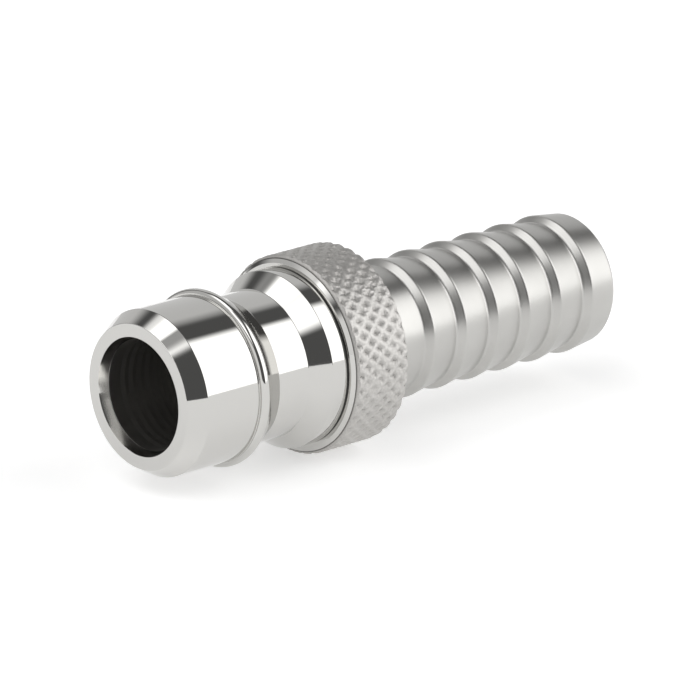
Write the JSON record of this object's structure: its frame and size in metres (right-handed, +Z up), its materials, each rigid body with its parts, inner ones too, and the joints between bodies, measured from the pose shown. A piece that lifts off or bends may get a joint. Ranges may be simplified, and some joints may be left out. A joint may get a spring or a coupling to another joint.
{
  "type": "quick coupling plug",
  "caption": "Swivel quick-coupling hose plug: polished nose with bead and locking neck, knurled union nut, and a barbed hose tail that turns on O-rings.",
  "frame": {"origin": "on the axis of the flow bore, at the middle of the nose's cylindrical sealing land", "axes": "+X along the axis from the nose to the hose tail, +Z up, +Y to the left of someone who looks along +X"},
  "size_m": [0.0585, 0.0204, 0.0205],
  "materials": {
    "polished_steel": "turned and mirror polished stainless steel",
    "knurled_steel": "diamond knurled, satin stainless steel",
    "turned_steel": "fine turned, satin stainless steel",
    "seal_rubber": "moulded nitrile rubber",
    "acetal": "machined natural acetal",
    "ptfe": "bronze-filled PTFE strip"
  },
  "bodies": {
    "plug": {"plug_body": "polished_steel", "knurled_nut": "knurled_steel", "seam_ring": "seal_rubber", "front_thrust_washer": "acetal", "rear_thrust_washer": "acetal", "dust_wiper": "seal_rubber"},
    "tail": {"hose_tail": "turned_steel", "front_o_ring": "seal_rubber", "rear_o_ring": "seal_rubber", "guide_band": "ptfe"}
  },
  "joints": [
    {"name": "tail_swivel", "type": "hinge", "parent": "plug", "child": "tail", "pos_m": [0.01547, 0, 0], "axis": [1, 0, 0], "continuous": true}
  ]
}
